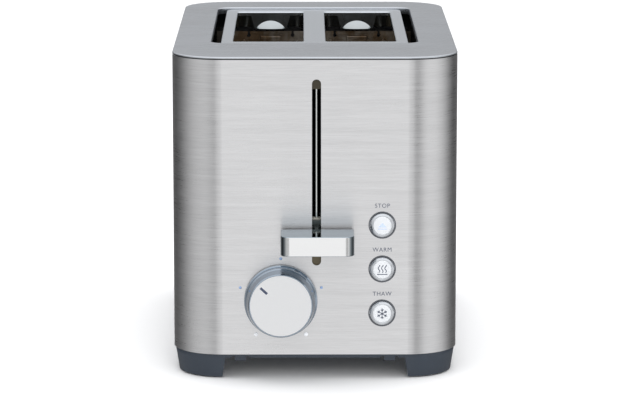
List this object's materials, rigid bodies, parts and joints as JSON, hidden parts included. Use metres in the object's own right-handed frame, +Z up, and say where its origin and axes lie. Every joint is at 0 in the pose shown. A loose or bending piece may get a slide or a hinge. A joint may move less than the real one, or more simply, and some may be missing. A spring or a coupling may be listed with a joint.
{
  "type": "pop up toaster",
  "caption": "Two-slice pop up toaster with a brushed steel body, sprung bread carriage and lever, browning knob, round buttons and a crumb tray.",
  "frame": {"origin": "centre of the object's box on the surface that it stands on", "axes": "+X across the toaster, to the right seen from the control end; +Y from the control end to the back; +Z up"},
  "size_m": [0.165, 0.3056, 0.188],
  "materials": {
    "brushed_wrap": "fine horizontal brushing",
    "satin_top": "satin",
    "polished_steel": "bright",
    "galvanised": "galvanised, matt",
    "zinc_steel": "zinc plated",
    "wire_steel": "heat tinted",
    "polished_rod": "ground and polished",
    "lever_chrome": "satin plated",
    "knob_chrome": "metallised",
    "spun_face": "concentric spun",
    "button_chrome": "metallised",
    "button_lens": "satin",
    "dark_mark": "matt",
    "base_plastic": "fine texture",
    "dark_plastic": "matt",
    "pale_plastic": "matt",
    "component_plastic": "matt",
    "nylon": "matt",
    "mica": "mottled sheet",
    "heater_ribbon": "oxidised",
    "copper_coil": "enamelled",
    "copper": "bare",
    "board_green": "lacquered",
    "rubber": "matt",
    "bumper_rubber": "matt",
    "lead_brown": "satin",
    "lead_blue": "satin"
  },
  "bodies": {
    "toaster_body": {"body_shell": "brushed_wrap", "top_plate": "satin_top", "top_frame": "dark_plastic", "slot_surround": "polished_steel", "base": "base_plastic", "foot_pads": "rubber", "base_screws": "zinc_steel", "front_end_plate": "galvanised", "rear_end_plate": "galvanised", "left_side_shield": "galvanised", "right_side_shield": "galvanised", "left_heater_card": "mica", "centre_heater_card": "mica", "right_heater_card": "mica", "left_heater_winding": "heater_ribbon", "centre_heater_winding": "heater_ribbon", "right_heater_winding": "heater_ribbon", "guide_rod": "polished_rod", "lever_bumpers": "bumper_rubber", "magnet_core": "zinc_steel", "magnet_coil": "copper_coil", "return_spring": "wire_steel", "switch_block": "dark_plastic", "contact_leaves": "copper", "potentiometer": "zinc_steel", "button_bezels": "dark_plastic", "control_board": "board_green", "tact_switches": "dark_plastic", "board_components": "component_plastic", "board_holder": "pale_plastic", "board_screws": "zinc_steel", "cord_gland": "base_plastic", "terminal_block": "pale_plastic", "live_lead": "lead_brown", "neutral_lead": "lead_blue"},
    "carriage": {"slider_bush": "nylon", "carriage_bracket": "galvanised", "left_bread_rack": "zinc_steel", "right_bread_rack": "zinc_steel", "lever_arm": "zinc_steel", "lever_cap": "lever_chrome", "lever_core": "dark_plastic", "armature_plate": "zinc_steel"},
    "knob": {"knob_body": "knob_chrome", "knob_face": "spun_face", "knob_pointer": "dark_mark", "pot_shaft": "zinc_steel"},
    "crumb_drawer": {"crumb_tray": "galvanised", "tray_pull": "base_plastic"},
    "cancel_button": {"cancel_button_cap": "button_chrome", "cancel_button_lens": "button_lens"},
    "reheat_button": {"reheat_button_cap": "button_chrome", "reheat_button_lens": "button_lens"},
    "defrost_button": {"defrost_button_cap": "button_chrome", "defrost_button_lens": "button_lens"},
    "left_outer_guard": {"guard_left_outer": "wire_steel"},
    "left_inner_guard": {"guard_left_inner": "wire_steel"},
    "right_inner_guard": {"guard_right_inner": "wire_steel"},
    "right_outer_guard": {"guard_right_outer": "wire_steel"}
  },
  "joints": [
    {"name": "carriage_slide", "type": "slide", "parent": "toaster_body", "child": "carriage", "axis": [0, 0, 1], "range_m": [0, 0.08], "deforming": ["return_spring"]},
    {"name": "browning_turn", "type": "hinge", "parent": "toaster_body", "child": "knob", "pos_m": [-0.0198, -0.12325, 0.0464], "axis": [0, -1, 0], "range_deg": [-191.6, 96.4]},
    {"name": "tray_slide", "type": "slide", "parent": "toaster_body", "child": "crumb_drawer", "axis": [0, 1, 0], "range_m": [0, 0.18]},
    {"name": "cancel_press", "type": "slide", "parent": "toaster_body", "child": "cancel_button", "axis": [0, 1, 0], "range_m": [0, 0.002], "stiffness_N_per_m": 200},
    {"name": "reheat_press", "type": "slide", "parent": "toaster_body", "child": "reheat_button", "axis": [0, 1, 0], "range_m": [0, 0.002], "stiffness_N_per_m": 200},
    {"name": "defrost_press", "type": "slide", "parent": "toaster_body", "child": "defrost_button", "axis": [0, 1, 0], "range_m": [0, 0.002], "stiffness_N_per_m": 200},
    {"name": "left_outer_guard_swing", "type": "hinge", "parent": "toaster_body", "child": "left_outer_guard", "pos_m": [-0.045, 0.02735, 0.038], "axis": [0, 1, 0], "range_deg": [-1.8, 0]},
    {"name": "left_inner_guard_swing", "type": "hinge", "parent": "toaster_body", "child": "left_inner_guard", "pos_m": [-0.01, 0.02735, 0.038], "axis": [0, 1, 0], "range_deg": [0, 1.8]},
    {"name": "right_inner_guard_swing", "type": "hinge", "parent": "toaster_body", "child": "right_inner_guard", "pos_m": [0.01, 0.02735, 0.038], "axis": [0, 1, 0], "range_deg": [-1.8, 0]},
    {"name": "right_outer_guard_swing", "type": "hinge", "parent": "toaster_body", "child": "right_outer_guard", "pos_m": [0.045, 0.02735, 0.038], "axis": [0, 1, 0], "range_deg": [0, 1.8]}
  ],
  "couplings": [
    {"joint": "left_outer_guard_swing", "follows": "carriage_slide", "rad_per_m": -0.39},
    {"joint": "left_inner_guard_swing", "follows": "carriage_slide", "rad_per_m": 0.39},
    {"joint": "right_inner_guard_swing", "follows": "carriage_slide", "rad_per_m": -0.39},
    {"joint": "right_outer_guard_swing", "follows": "carriage_slide", "rad_per_m": 0.39}
  ]
}
